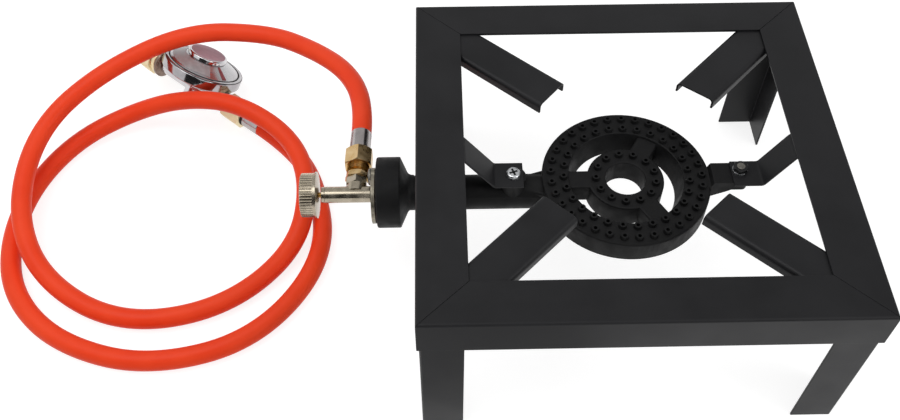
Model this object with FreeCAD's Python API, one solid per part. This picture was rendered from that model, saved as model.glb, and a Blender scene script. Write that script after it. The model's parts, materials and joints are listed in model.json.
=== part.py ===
"""Propane burner stand: a folded steel pot frame with a cast ring burner, its gas tap,
and a rubber hose that ends in a low pressure regulator.

All sizes are in millimetres. The pieces are built with the middle of the pot frame over
the origin and the floor at z = 0. save() then moves each one along x, so that the origin
of the part is on the floor at the middle of the stand and its tap.
"""
import FreeCAD, Part
import math
import os

from FreeCAD import Matrix, Placement, Rotation, Vector

# Pot frame: four folded angle bars with mitred corners, and four angle legs
FRAME_LONG = 302.0          # along x, the way the gas tube runs
FRAME_DEEP = 292.8          # along y
FRAME_TALL = 140.0          # the pot stands at this height
SIDE_BAR = 34.5             # width of the flat tops at left and right
END_BAR = 32.7              # width of the flat tops at front and back
BAR_APRON = 31.2            # depth of a bar's outer face
SHEET = 1.6                 # sheet steel of bars, legs, arms and straps
BEND = 2.0                  # outer radius of a fold
SEAM = 0.15                 # half of the gap left along a mitre
LEG_FLANGE = 29.5
LEG_TALL = 136.0

# Pot arms: inverted channels on the diagonals, welded under the corners of the frame
ARM_WIDE = 30.4
ARM_DEEP = 9.0
ARM_BEND = 4.0
ARM_LINES = {               # outer point, tip and shear of the tip in degrees
    "back_left": ((-108.0, 102.0), (-50.0, 50.5), 1.0),
    "back_right": ((106.0, 102.0), (56.0, 50.5), 6.0),
    "front_left": ((-103.0, -105.0), (-53.0, -54.0), 2.0),
    "front_right": ((103.0, -99.5), (53.5, -54.0), -4.0),
}

# Ring burner: one iron casting with ring, inner ring, spokes, ear, boss, gas tube and bell
BURNER_X = 3.3
RING_OUT = 62.1
RING_IN = 42.5
RING_IN_LOW = 38.6
RING_TOP = 102.0
RING_LOW = 84.0
INNER_OUT = 28.5
INNER_BORE = 14.8
INNER_TOP = 100.0
INNER_LOW = 81.4
SPOKE_WIDE = 16.0
SPOKE_ANGLES = (60.0, 180.0, 300.0)
JET_ROWS = (                # row radius, height of the surface, number, angle of the first
    (55.6, RING_TOP, 33, 87.1),
    (46.2, RING_TOP, 27, 86.4),
    (22.2, INNER_TOP, 13, 96.9),
)
JET_RISE = 2.8              # how far a flame port stands up
JET_FOOT = 3.2
JET_TIP = 2.6
JET_BORE = 1.35
EAR_SPAN = (-11.2, 7.8)     # the right ear, from side to side
EAR_END = 91.3
EAR_LOW = 98.4
EAR_TOP = 106.4
BOSS_R = 9.5                # the upright boss on the tube, at the left
TUBE_OUT = 13.0
TUBE_BORE = 8.0
BELL_OUT = 26.5
BELL_IN = 22.8
BELL_FRONT = -181.0         # the open mouth of the bell, which faces the tap
BELL_RIM_END = -163.5
BELL_TAPER_END = -157.3
BELL_COLLAR_END = -153.5

# Straps that carry the burner under the frame's side bars
STRAP_WIDE = 22.6
STRAP_TAB = 76.4            # inner end, from the burner's middle
STRAP_FOLD = 98.0
STRAP_MIDDLE = {"left": -1.5, "right": -3.3}
STRAP_SCREWS = {"left": (-80.3, -1.6), "right": (86.0, -0.4)}
SCREW_R = 3.0
WASHER_THICK = 1.2
NUT_TALL = 3.0

# Gas line along x. The heights of the bell, the tube and the tap differ a little.
BELL_Z = 87.4
TUBE_Z = 86.4
TAP_Z = 85.6
PIVOT_REACH = 14.6          # air shutter's screw, from the tap's axis
PIVOT_SLOPE = 65.0          # its direction above +y, in degrees
SHUTTER_R = 20.3
SHUTTER_MIDDLE = (-2.1, -0.2)   # middle of the disc in y and z, from the tap's axis
SHUTTER_TAB = 6.6
SHUTTER_FACES = (-184.8, -182.0)
SHUTTER_SWING = 20.0        # each way
RUNNING = 0.05              # radial play of a turning or sliding fit
BRANCH_X = -197.2
BRANCH_YAW = 2.0            # the hose branch leaves along +y, turned this much towards +x
TAP_R = 6.2
TAP_END = -220.4
NOSE_R = 5.0
NOSE_TIP = -172.0
STEM_R = 2.0
STEM_END = -232.7
KNOB_END = -237.7
KNOB_R = 16.5
KNOB_FLANGE = 17.5
KNOB_GROOVES = 48

# Hose: 15.8 mm outside, 8 mm bore. Its middle line is chosen by hand after the photograph:
# from the tap out and round the upper loop, over the regulator's inlet, round to the
# right, up over its own last stretch and the outlet, and round once more on the floor.
HOSE_R = 7.9
HOSE_BORE = 4.0
HOSE_ROUTE = (
    (-195.1, 60, 85.6), (-194, 91.9, 85.6), (-208.4, 130.2, 84), (-240.2, 165.3, 76),
    (-282.8, 194.4, 69), (-355.6, 201.3, 66.4), (-428.3, 163.6, 55), (-476.9, 114.4, 38),
    (-481, 37, 27), (-452.3, -22.9, 14), (-384.8, -63.4, 7.9), (-305.6, -51.2, 7.9),
    (-251.6, 2.3, 9.4), (-242, 58, 28), (-261.7, 107.7, 30.5), (-308.1, 136.8, 42.4),
    (-358.3, 148.2, 36.4), (-408, 152.6, 15.5), (-454.4, 127.2, 7.9), (-482, 76.2, 7.9),
    (-487.9, 17.3, 7.9), (-471.6, -36.9, 7.9), (-426.7, -79.5, 7.9), (-354.9, -100.6, 7.9),
    (-274.2, -77.8, 7.9), (-225.5, -1.7, 7.9), (-241.9, 81.7, 7.9),
)
LAST_RUN = 26.0             # straight into the regulator's ferrule
CORNER_SHARE = 0.45         # share of the shorter run that an arc takes

# Regulator: its pipe points along OUTLET, and its round cover faces FACE
HOSE_END = Vector(-292.2, 135.7, 11.0)
OUTLET_YAW = -37.2
OUTLET_DIP = -6.7
FACE_LEAN = 36.3            # the cover leans back about the pipe
PIPE_REACH = 78.0           # from the regulator's middle to the hose
PIPE_DROP = 18.0            # the pipe's axis under the crimped rim
RIM_R = 36.0
PLUG_R = 8.0
COVER_FOOT = (2.2, 31.3)    # height and radius where the cover's cone begins
COVER_NECK = (9.2, 17.2)    # and where it ends
CAP_R = 17.6
CAP_TOP = 13.4
INLET_MOUTH = 62.0          # open end of the cylinder nut, from the regulator's middle
INLET_FLATS = 30.0
INLET_THREAD_R = 10.4
INLET_THREAD_LONG = 10.0

X, Y, Z = Vector(1, 0, 0), Vector(0, 1, 0), Vector(0, 0, 1)
HALF_LONG, HALF_DEEP = FRAME_LONG / 2, FRAME_DEEP / 2
CENTRE_SHIFT = 43.0         # carries the middle of the stand and its tap to the origin
UNDER_TOP = FRAME_TALL - SHEET
BURNER = Vector(BURNER_X, 0, 0)
BELL, TUBE, TAP = Vector(0, 0, BELL_Z), Vector(0, 0, TUBE_Z), Vector(0, 0, TAP_Z)
BRANCH = TAP + X * BRANCH_X
BRANCH_TURN = Placement(Vector(), Rotation(Z, -BRANCH_YAW), BRANCH)


# Helpers

def at(angle, radius):
    """A point on the floor plane at an angle in degrees."""
    return Vector(radius * math.cos(math.radians(angle)), radius * math.sin(math.radians(angle)), 0)


def rounded_wire(points):
    """A closed flat wire through (x, y) or (x, y, radius) corners in the xy plane."""
    corners = []
    for i, here in enumerate(points):
        p = Vector(here[0], here[1], 0)
        radius = here[2] if len(here) > 2 else 0.0
        if radius == 0:
            corners.append((p, None, p))
            continue
        before, after = points[i - 1], points[(i + 1) % len(points)]
        a = (Vector(before[0], before[1], 0) - p).normalize()
        b = (Vector(after[0], after[1], 0) - p).normalize()
        half = a.getAngle(b) / 2
        back = radius / math.tan(half)
        middle = p + (a + b).normalize() * (radius / math.sin(half) - radius)
        corners.append((p + a * back, middle, p + b * back))
    edges = []
    for (start, middle, end), (following, _, _) in zip(corners, corners[1:] + corners[:1]):
        if middle is not None:
            edges.append(Part.Arc(start, middle, end).toShape())
        if (following - end).Length > 1e-6:
            edges.append(Part.LineSegment(end, following).toShape())
    return Part.Wire(edges)


def axes_at(origin, x_way, y_way):
    """The placement that carries the xy plane to an origin and two directions."""
    z_way = x_way.cross(y_way)
    return Placement(Matrix(x_way.x, y_way.x, z_way.x, origin.x,
                            x_way.y, y_way.y, z_way.y, origin.y,
                            x_way.z, y_way.z, z_way.z, origin.z,
                            0, 0, 0, 1))


def extruded(points, length, origin=Vector(), x_way=X, y_way=Y):
    """A prism on a rounded outline, pushed along x_way cross y_way."""
    solid = Part.Face(rounded_wire(points)).extrude(Vector(0, 0, length))
    solid.Placement = axes_at(origin, x_way, y_way)
    return solid


def turned(points, origin=Vector(), axis=Z):
    """A solid of revolution from (distance along the axis, radius) corners."""
    solid = Part.Face(rounded_wire(points)).revolve(Vector(), X, 360)
    side = Y if abs(axis.dot(Y)) < 0.9 else Z
    side = (side - axis * side.dot(axis)).normalize()
    solid.Placement = axes_at(origin, axis, side)
    return solid


def rod(radius, length, origin=Vector(), axis=Z):
    return Part.makeCylinder(radius, length, origin, axis)


def block(low, high):
    return Part.makeBox(high[0] - low[0], high[1] - low[1], high[2] - low[2], Vector(*low))


def joined(*shapes):
    return shapes[0].multiFuse(list(shapes[1:])).removeSplitter()


def hexagon(flats, length, origin, axis, corner, chamfer=1.2):
    """A hexagon bar along an axis, one corner towards a direction, both ends chamfered."""
    radius = flats / math.sqrt(3)
    outline = [(radius * math.cos(math.radians(60 * k)), radius * math.sin(math.radians(60 * k)))
               for k in range(6)]
    bar = extruded(outline, length, origin, corner, axis.cross(corner))
    side = flats / 2 + 0.1
    cone = turned([(0, 0), (0, side), (chamfer * 0.58, radius + 0.1),
                   (length - chamfer * 0.58, radius + 0.1), (length, side), (length, 0)], origin, axis)
    return bar.common(cone)


# Pot frame

def top_bar(corner, run, inward, length, wide, neighbour):
    """One side of the frame: flat top, folded apron, and a mitre at each end."""
    low = FRAME_TALL - BAR_APRON
    section = [(0, low), (SHEET, low), (SHEET, UNDER_TOP, BEND - SHEET), (wide, UNDER_TOP),
               (wide, FRAME_TALL), (0, FRAME_TALL, BEND)]
    bar = extruded(section, length, corner, inward, Z)
    slope = neighbour / wide
    deep = wide + 5
    near, far = SEAM + deep * slope, length - SEAM - deep * slope
    plan = [(SEAM - slope, -1), (length - SEAM + slope, -1), (far, deep), (near, deep)]
    return bar.common(extruded(plan, FRAME_TALL + 1, corner, run, inward))


def leg(side_x, side_y):
    """An angle leg, nested inside the aprons of two bars."""
    outer_x, outer_y = HALF_LONG - SHEET, HALF_DEEP - SHEET
    plan = [(0, 0, BEND), (LEG_FLANGE, 0), (LEG_FLANGE, SHEET), (SHEET, SHEET, BEND - SHEET),
            (SHEET, LEG_FLANGE), (0, LEG_FLANGE)]
    placed = [(side_x * (outer_x - p[0]), side_y * (outer_y - p[1])) + tuple(p[2:]) for p in plan]
    return extruded(placed, LEG_TALL)


def pot_arm(outer, tip, shear):
    """A channel with its flanges down, cut to fit the corner and sheared at its tip."""
    start, end = Vector(outer[0], outer[1], 0), Vector(tip[0], tip[1], 0)
    way = (end - start).normalize()
    half, low, top = ARM_WIDE / 2, UNDER_TOP - ARM_DEEP, UNDER_TOP
    inner_bend = ARM_BEND - SHEET
    section = [(-half, low), (-half + SHEET, low), (-half + SHEET, top - SHEET, inner_bend),
               (half - SHEET, top - SHEET, inner_bend), (half - SHEET, low), (half, low),
               (half, top, ARM_BEND), (-half, top, ARM_BEND)]
    reach = 60.0
    arm = extruded(section, reach + (end - start).Length + 10, start - way * reach, Z.cross(way), Z)
    inside_x, inside_y = HALF_LONG - 2 * SHEET - 0.9, HALF_DEEP - 2 * SHEET - 0.9
    arm = arm.common(block((-inside_x, -inside_y, 0), (inside_x, inside_y, FRAME_TALL)))
    beyond = block((0, -ARM_WIDE, low - 1), (30, ARM_WIDE, top + 1))
    angle = math.degrees(math.atan2(way.y, way.x)) + shear
    beyond.Placement = Placement(end, Rotation(Z, angle))
    return arm.cut(beyond)


def strip(path, thickness):
    """Corners of a strip that lies to the left of a path of (x, z) points."""
    points = [Vector(p[0], p[1], 0) for p in path]
    left = []
    for i, p in enumerate(points):
        ways = []
        if i > 0:
            ways.append((p - points[i - 1]).normalize())
        if i < len(points) - 1:
            ways.append((points[i + 1] - p).normalize())
        normals = [Vector(-w.y, w.x, 0) for w in ways]
        total = normals[0] + normals[-1]
        middle = total.normalize()
        left.append(p + middle * (thickness / middle.dot(normals[0])))
    return [(p.x, p.y) for p in points] + [(p.x, p.y) for p in reversed(left)]


def strap(side):
    """A flat bar from under a side bar down to the burner."""
    sign = 1 if side == "right" else -1
    low_root = UNDER_TOP - SHEET
    path = [(STRAP_TAB, EAR_TOP), (STRAP_FOLD, EAR_TOP),
            (HALF_LONG - SIDE_BAR + 1 - sign * BURNER_X, low_root),
            (HALF_LONG - 8 - sign * BURNER_X, low_root)]
    outline = strip(path, SHEET)
    outline[1] += (4.0,)
    outline[2] += (2.4,)
    outline[5] += (4.0,)
    outline[6] += (2.4,)
    middle = STRAP_MIDDLE[side]
    origin = Vector(BURNER_X, middle + sign * STRAP_WIDE / 2, 0)
    bar = extruded(outline, STRAP_WIDE, origin, X * sign, Z)
    hole = rod(SCREW_R + 0.3, 6, Vector(*STRAP_SCREWS[side], EAR_TOP - 2))
    return bar.cut(hole)


# Burner casting

def ring_walls():
    """Outer ring, inner ring and spokes, without their gas ways."""
    outer = turned([(RING_LOW, RING_IN_LOW), (RING_LOW, RING_OUT, 1), (RING_TOP, RING_OUT, 1.5),
                    (RING_TOP, RING_IN, 1)], BURNER)
    inner = turned([(INNER_LOW, INNER_BORE), (INNER_LOW, INNER_OUT, 1), (INNER_TOP, INNER_OUT, 1.5),
                    (INNER_TOP, INNER_BORE, 1)], BURNER)
    half = SPOKE_WIDE / 2
    section = [(-half, RING_LOW + 1), (half, RING_LOW + 1), (half, INNER_TOP, 1.5), (-half, INNER_TOP, 1.5)]
    spokes = []
    for angle in SPOKE_ANGLES:
        way = at(angle, 1)
        start = BURNER + way * (INNER_OUT - 2)
        spokes.append(extruded(section, RING_IN - INNER_OUT + 4, start, Z.cross(way), Z))
    return [outer, inner] + spokes


def right_ear():
    """The ear under the right strap: a flat pad on a root that slopes out of the ring."""
    front, back = EAR_SPAN
    profile = [(58, 89.5), (65, 90.9), (77, 96.7), (79.6, EAR_LOW), (EAR_END, EAR_LOW, 2),
               (EAR_END, EAR_TOP, 0.8), (66, EAR_TOP, 1), (64.5, RING_TOP + 0.5), (60, RING_TOP - 1)]
    body = extruded(profile, back - front, Y * back, X, Z)
    plan = [(50, front), (EAR_END, front, 4), (EAR_END, back, 4), (50, back)]
    return body.common(extruded(plan, EAR_TOP + 1))


def left_boss():
    """The upright boss that the left strap is screwed to, and the flare from tube to ring."""
    boss = rod(BOSS_R, EAR_TOP - TUBE_Z, Vector(*STRAP_SCREWS["left"], TUBE_Z))
    plan = [(-76, -6), (-57, -12.1), (-50, -14), (-50, 14), (-57, 12.1), (-76, 6)]
    flare = extruded(plan, 97 - TUBE_Z, TUBE)
    upper = [edge for edge in flare.Edges if edge.BoundBox.ZMin > 96.9 and edge.BoundBox.XMin < -51]
    return boss, flare.makeFillet(2.0, upper)


def jets():
    """The raised flame ports and the holes through them."""
    bosses, holes = [], []
    for radius, surface, number, first in JET_ROWS:
        for k in range(number):
            spot = BURNER + at(first + 360 * k / number, radius) + Vector(0, 0, surface)
            foot = spot - Vector(0, 0, 0.5)
            bosses.append(Part.makeCone(JET_FOOT, JET_TIP, JET_RISE + 0.5, foot, Z))
            holes.append(rod(JET_BORE, 12, spot - Vector(0, 0, 7)))
    return bosses, holes


def gas_ways():
    """The hollow that carries gas from the tube round both rings."""
    floor, roof = RING_LOW + 3.5, RING_TOP - 3.5
    outer = turned([(floor, 46), (floor, 58, 1), (roof, 58, 1), (roof, 46, 1)], BURNER)
    inner = turned([(floor, 18.5), (floor, 25.5, 1), (roof - 1.5, 25.5, 1), (roof - 1.5, 18.5, 1)], BURNER)
    ways = [outer, inner]
    for angle in SPOKE_ANGLES:
        way = at(angle, 1)
        section = [(-4, floor), (4, floor), (4, roof - 1.5, 1), (-4, roof - 1.5, 1)]
        ways.append(extruded(section, 24, BURNER + way * 24, Z.cross(way), Z))
    return ways


def swing_axes():
    """The direction from the tap's axis to the shutter's pivot, the one across it, the pivot."""
    slope = math.radians(PIVOT_SLOPE)
    along = Vector(0, math.cos(slope), math.sin(slope))
    return along, X.cross(along), TAP + along * PIVOT_REACH


def bell_arm():
    """The cast bar across the bell's mouth: the tap's thread and the shutter's screw sit in it."""
    along, across, spot = swing_axes()
    reach = BELL_IN + 3
    bar = extruded([(-reach, -5), (reach, -5), (reach, 5), (-reach, 5)],
                   7, TAP + X * BELL_FRONT, along, across)
    bar = bar.common(rod(BELL_OUT - 1, 7, BELL + X * BELL_FRONT, X))
    hub = rod(9, 10, TAP + X * BELL_FRONT, X)
    seat = rod(5, 8, spot + X * (SHUTTER_FACES[1] + 0.15), X)
    return joined(bar, hub, seat)


def burner_casting():
    tube_end = BURNER_X - 54.5
    tube_start = BELL_RIM_END + 3.5
    tube = rod(TUBE_OUT, tube_end - tube_start, TUBE + X * tube_start, X)
    nose = Part.makeSphere(TUBE_OUT, TUBE + X * tube_end)
    bell = turned([(BELL_COLLAR_END, 0), (BELL_COLLAR_END, TUBE_OUT), (BELL_TAPER_END, TUBE_OUT, 4),
                   (BELL_RIM_END, BELL_OUT, 1.2), (BELL_FRONT, BELL_OUT, 1.5), (BELL_FRONT, 0)], BELL, X)
    bosses, holes = jets()
    casting = joined(*ring_walls(), tube, nose, bell, right_ear(), *left_boss())
    casting = casting.multiFuse(bosses)
    mouth = turned([(BELL_FRONT - 1, 0), (BELL_FRONT - 1, BELL_IN), (-168, BELL_IN, 2), (-158, 9.5, 4),
                    (-152, 9.5), (-152, 0)], BELL, X)
    bore_start, bore_end = -156.0, BURNER_X - 52
    bore = rod(TUBE_BORE, bore_end - bore_start, TUBE + X * bore_start, X)
    casting = casting.cut([mouth, bore] + gas_ways() + holes)
    casting = casting.fuse(bell_arm())
    spot = swing_axes()[2]
    taps = [rod(NOSE_R, 20, TAP + X * (BELL_FRONT - 2), X),
            rod(2.5, 20, spot + X * (BELL_FRONT - 4), X),
            rod(SCREW_R, 20, Vector(*STRAP_SCREWS["right"], EAR_LOW - 5)),
            rod(SCREW_R, 10, Vector(*STRAP_SCREWS["left"], 97.5))]
    return casting.cut(taps).removeSplitter()


# Fasteners

def cross_slot(radius, depth, origin, axis, side):
    """The cross recess of a screw head, as a solid to cut away."""
    wide = radius * 0.28
    other = axis.cross(side)
    slots = []
    for a, b in ((side, other), (other, side * -1)):
        slots.append(extruded([(-radius * 0.55, -wide / 2), (radius * 0.55, -wide / 2),
                               (radius * 0.55, wide / 2), (-radius * 0.55, wide / 2)],
                              depth, origin - axis * depth, a, b))
    return joined(*slots)


def pan_screw(head, tall, shank, length, under_head, axis, side=X):
    """A pan head screw whose head stands up along the axis from the point under it."""
    solid = joined(turned([(0, 0), (0, head, 0.3), (tall, head * 0.86, tall * 0.6), (tall, 0)],
                          under_head, axis),
                   rod(shank, length, under_head - axis * length, axis))
    return solid.cut(cross_slot(head, tall * 0.5, under_head + axis * tall, axis, side))


def nut(flats, length, bore, origin, axis, corner):
    return hexagon(flats, length, origin, axis, corner).cut(rod(bore, length, origin, axis))


def split_washer(inner, outer, thick, origin):
    """A spring washer: one coil that rises at its cut ends."""
    ring = rod(outer, thick, origin).cut(rod(inner, thick, origin))
    gap = block((inner - 0.5, -0.5, 0), (outer + 0.5, 0.5, thick))
    gap.Placement = Placement(origin, Rotation(Z, -50))
    return ring.cut(gap)


# Tap

def shutter_plate():
    """The swinging air plate: a disc with a tab at its screw and an arc slot for the tap."""
    along, across, spot = swing_axes()
    back, front = SHUTTER_FACES
    thick = front - back
    disc = rod(SHUTTER_R, thick, TAP + Vector(back, *SHUTTER_MIDDLE), X)
    pivot = spot + X * back
    plate = joined(disc, rod(SHUTTER_TAB, thick, pivot, X))
    room = NOSE_R + 0.35
    slot = rod(PIVOT_REACH + room, thick, pivot, X).cut(rod(PIVOT_REACH - room, thick, pivot, X))
    reach = 40.0
    swing = math.radians(SHUTTER_SWING)
    wedge = extruded([(0, 0), (-reach * math.cos(swing), reach * math.sin(swing)), (-reach, 0),
                      (-reach * math.cos(swing), -reach * math.sin(swing))],
                     thick, pivot, along, across)
    ends = [rod(room, thick, pivot - along * (PIVOT_REACH * math.cos(swing))
                + across * (PIVOT_REACH * math.sin(swing) * sign), X) for sign in (1, -1)]
    screw_hole = rod(2.5 + RUNNING, thick, pivot, X)
    return plate.cut([slot.common(wedge)] + ends + [screw_hole])


def branched(shape):
    """Carry a piece that is drawn along +y to the branch's real direction."""
    shape = shape.copy()
    shape.Placement = BRANCH_TURN.multiply(shape.Placement)
    return shape


def valve_body():
    """The nickelled tap: barrel, nose in the bell, hose branch, and the bores inside."""
    shoulder = SHUTTER_FACES[0] - 1.0
    barrel = turned([(TAP_END, 0), (TAP_END, TAP_R, 0.5), (shoulder, TAP_R, 0.5), (shoulder, NOSE_R),
                     (NOSE_TIP, NOSE_R, 0.5), (NOSE_TIP, 0)], TAP, X)
    neck = rod(7.6, 7, BRANCH, Y)
    corner = Vector(math.cos(math.radians(30)), 0, math.sin(math.radians(30)))
    nut_end = hexagon(15, 6.5, BRANCH + Y * 7, Y, corner)
    body = joined(barrel, branched(neck), branched(nut_end))
    chamber = turned([(TAP_END, 0), (TAP_END, 4.2), (-214, 4.2), (-214, 3.2), (-191, 3.2),
                      (-191, 1.6), (-178, 1.6), (-178, 2.5), (NOSE_TIP, 2.5), (NOSE_TIP, 0)], TAP, X)
    inlet = turned([(0, 0), (0, 2.6), (7.5, 2.6), (7.5, 4.8), (13.5, 4.8), (13.5, 0)], BRANCH, Y)
    return body.cut([chamber, branched(inlet)])


def injector_jet():
    """The brass jet in the tap's nose, with its 0.9 mm orifice."""
    shank = turned([(-177, 1.2), (-177, 2.5), (NOSE_TIP, 2.5), (NOSE_TIP, 1.2)], TAP, X)
    head = hexagon(8, 6, TAP + X * NOSE_TIP, X, Z, 0.8)
    head = head.cut(turned([(NOSE_TIP, 0), (NOSE_TIP, 1.2), (NOSE_TIP + 4.5, 1.2), (NOSE_TIP + 4.8, 0.45),
                            (NOSE_TIP + 6, 0.45), (NOSE_TIP + 6, 0)], TAP, X))
    return joined(shank, head)


def valve_plug():
    """The loose cone that the spindle presses on the seat: it slides and doesn't turn."""
    return turned([(-198.8, 0), (-198.8, 1.2), (-195, 1.2), (-195, 2.6, 0.2), (-192.6, 2.6, 0.2),
                   (-189.4, 0.5), (-189.4, 0)], TAP, X)


def valve_spindle():
    """Threaded end inside the barrel, plain stem through the packing, end in the knob."""
    stem = turned([(STEM_END, 0), (STEM_END, STEM_R, 0.3), (-212, STEM_R), (-212, 3.2 - RUNNING),
                   (-195.5, 3.2 - RUNNING, 0.3), (-195.5, 0)], TAP, X)
    socket = rod(1.2 + RUNNING, 3.9, TAP + X * -199.4, X)
    tapped = rod(1.25, 6, TAP + X * STEM_END, X)
    return stem.cut([socket, tapped])


def packing_ring():
    return turned([(-216.5, STEM_R + RUNNING), (-216.5, 4.2), (-214, 4.2), (-214, STEM_R + RUNNING)], TAP, X)


def packing_nut():
    return turned([(-222.8, STEM_R + RUNNING), (-222.8, 5.9, 0.3), (TAP_END, 5.9), (TAP_END, 4.2),
                   (-216.5, 4.2), (-216.5, STEM_R + RUNNING)], TAP, X)


def knob():
    """A grooved drum with a thin flange and a coned back, on the spindle's end."""
    face = KNOB_END + 3.0
    rim = -225.7
    body = turned([(-224.4, STEM_R), (-224.4, 5.0), (rim, KNOB_FLANGE - 0.3), (rim - 0.1, KNOB_FLANGE),
                   (rim - 1.5, KNOB_FLANGE, 0.2), (rim - 1.5, KNOB_R), (KNOB_END, KNOB_R, 0.8),
                   (KNOB_END, 9.5, 0.4), (face, 9.0, 0.4), (face, 1.35), (STEM_END, 1.35),
                   (STEM_END, STEM_R)], TAP, X)
    grooves = []
    for k in range(KNOB_GROOVES):
        a = math.radians(360 * k / KNOB_GROOVES)
        way = Vector(0, math.cos(a), math.sin(a))
        grooves.append(rod(0.75, 10.0, TAP + way * (KNOB_R + 0.2) + X * (KNOB_END - 0.5), X))
    return body.cut(grooves)


def hose_adaptor():
    """Brass nipple between the tap's branch and the hose's union nut."""
    shank = turned([(7.6, 2.6), (7.6, 4.8, 0.3), (13.5, 4.8), (13.5, 2.6)], BRANCH, Y)
    corner = Vector(math.cos(math.radians(10)), 0, math.sin(math.radians(10)))
    collar = hexagon(16.5, 4.5, BRANCH + Y * 13.5, Y, corner)
    neck = turned([(17.5, 2.6), (17.5, 7.0), (20, 7.0), (21, 8.0), (32, 8.0, 0.5), (33, 6.8), (33, 4.6),
                   (30, 2.6)], BRANCH, Y)
    return joined(shank, collar.cut(rod(2.6, 20, BRANCH, Y)), neck)


def swivel_nut(flats, origin, axis, corner, start, end, neck_r, neck_end):
    """A union nut that pulls a hose tail onto a threaded neck."""
    length = end - start
    body = hexagon(flats, length, origin + axis * start, axis, corner, 1.8)
    return body.cut([rod(neck_r, neck_end - start, origin + axis * start, axis),
                     rod(5.4, length, origin + axis * start, axis)])


def hose_tail(origin, axis, start, end):
    """Brass tail: a collar held by the nut, and a stem inside the ferrule."""
    return turned([(start, 2.6), (start, 4.4), (start + 1.4, 7.2), (start + 3.4, 7.2), (start + 3.8, 5.2),
                   (end, 5.2), (end, 2.6)], origin, axis)


def ferrule(origin, axis, corner, start, end):
    """Steel sleeve, pressed to eight flats round the hose's end."""
    length = end - start
    sleeve = turned([(start, 5.2), (start, 8.3, 0.5), (end, 8.1, 0.6), (end, 5.2)], origin, axis)
    outline = [(8.75 * math.cos(math.radians(45 * k + 22.5)), 8.75 * math.sin(math.radians(45 * k + 22.5)))
               for k in range(8)]
    squeeze = extruded(outline, length - 6, origin + axis * (start + 3), corner, axis.cross(corner))
    plain = [rod(9, 3.05, origin + axis * start, axis), rod(9, 3.05, origin + axis * (end - 3.05), axis)]
    return sleeve.common(joined(squeeze, *plain))


# Hose

def outlet_way():
    """The direction of the regulator's pipe, out towards the hose."""
    yaw, dip = math.radians(OUTLET_YAW), math.radians(OUTLET_DIP)
    return Vector(math.cos(dip) * math.cos(yaw), math.cos(dip) * math.sin(yaw), math.sin(dip))


def hose_line():
    """Straight runs joined by tangent arcs, and a printed list of the radii."""
    points = [Vector(*p) for p in HOSE_ROUTE] + [HOSE_END + outlet_way() * LAST_RUN, HOSE_END]
    edges, radii = [], []
    last = points[0]
    for before, here, after in zip(points, points[1:], points[2:]):
        a, b = before - here, after - here
        take = CORNER_SHARE * min(a.Length, b.Length)
        a.normalize()
        b.normalize()
        half = a.getAngle(b) / 2
        radius = take * math.tan(half)
        start, end = here + a * take, here + b * take
        middle = here + (a + b).normalize() * (radius / math.sin(half) - radius)
        edges.append(Part.LineSegment(last, start).toShape())
        edges.append(Part.Arc(start, middle, end).toShape())
        radii.append(radius)
        last = end
    edges.append(Part.LineSegment(last, points[-1]).toShape())
    print("hose radii", [round(r) for r in radii])
    return Part.Wire(edges)


def hose():
    line = hose_line()
    start = Vector(*HOSE_ROUTE[0])
    way = (Vector(*HOSE_ROUTE[1]) - start).normalize()
    tubes = []
    for radius in (HOSE_R, HOSE_BORE):
        ring = Part.Wire([Part.makeCircle(radius, start, way)])
        tubes.append(line.makePipeShell([ring], True, False))
        print("hose", radius, "volume over section times length",
              round(tubes[-1].Volume / (math.pi * radius ** 2 * line.Length), 5))
    print("hose length", round(line.Length, 1))
    return tubes[0].cut(tubes[1])


# Regulator, in its own axes: x along the pipe to the outlet, z out of the cover,
# z = 0 at the crimped rim

def regulator_axes():
    outlet = outlet_way()
    lean = math.radians(FACE_LEAN)
    upright = (Z - outlet * outlet.z).normalize()
    level = Z.cross(outlet).normalize()
    face = upright * math.cos(lean) + level * math.sin(lean)
    origin = HOSE_END - outlet * PIPE_REACH + face * PIPE_DROP
    return axes_at(origin, outlet, face.cross(outlet))


PIPE = Vector(0, 0, -PIPE_DROP)
LEVER_PIN = Vector(10, 0, -12)


def regulator_body():
    """Lower casing with the pipe through it, the nozzle, and room for the lever."""
    bowl = turned([(-15, 0), (-15, 20, 3), (-8.6, 32.4, 1.5), (-7, 33.7), (-7, 35.0), (-1.5, 35.0),
                   (-1.5, 0)])
    pipe = turned([(-36, 0), (-36, 9.5, 1), (36, 9.5, 1), (36, 0)], PIPE, X)
    outlet_neck = turned([(34, 0), (34, 8.0), (50, 8.0, 0.5), (51, 6.8), (51, 0)], PIPE, X)
    plug_seat = rod(9.0, 9, PIPE - Z * 12)
    body = joined(bowl, pipe, outlet_neck, plug_seat)
    chamber = turned([(-9, 0), (-9, 22, 2), (-5, 29.5, 1.5), (-1.5, 30), (-1.5, 0)])
    well = block((-2, -4, -20), (14, 4, -8))
    fork_room = block((-5, -4.5, -13), (14, 4.5, -8))
    ways = turned([(-36, 0), (-36, 3.5), (-6, 3.5), (-6, 1.2), (-2, 1.2), (-2, 4.2), (14, 4.2),
                   (14, 2.6), (51, 2.6), (51, 0)], PIPE, X)
    cone = turned([(48, 0), (48, 2.6), (51, 4.6), (51, 0)], PIPE, X)
    pin_hole = rod(1.0, 12, LEVER_PIN - Y * 6, Y)
    return body.cut([chamber, well, fork_room, ways, cone, pin_hole])


def base_plug(floor_reach):
    """Round plug under the casing, the point that the regulator rests on."""
    top = -PIPE_DROP - 12
    return turned([(top, 0), (top, PLUG_R), (-floor_reach, PLUG_R, 0.4), (-floor_reach, 0)])


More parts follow.
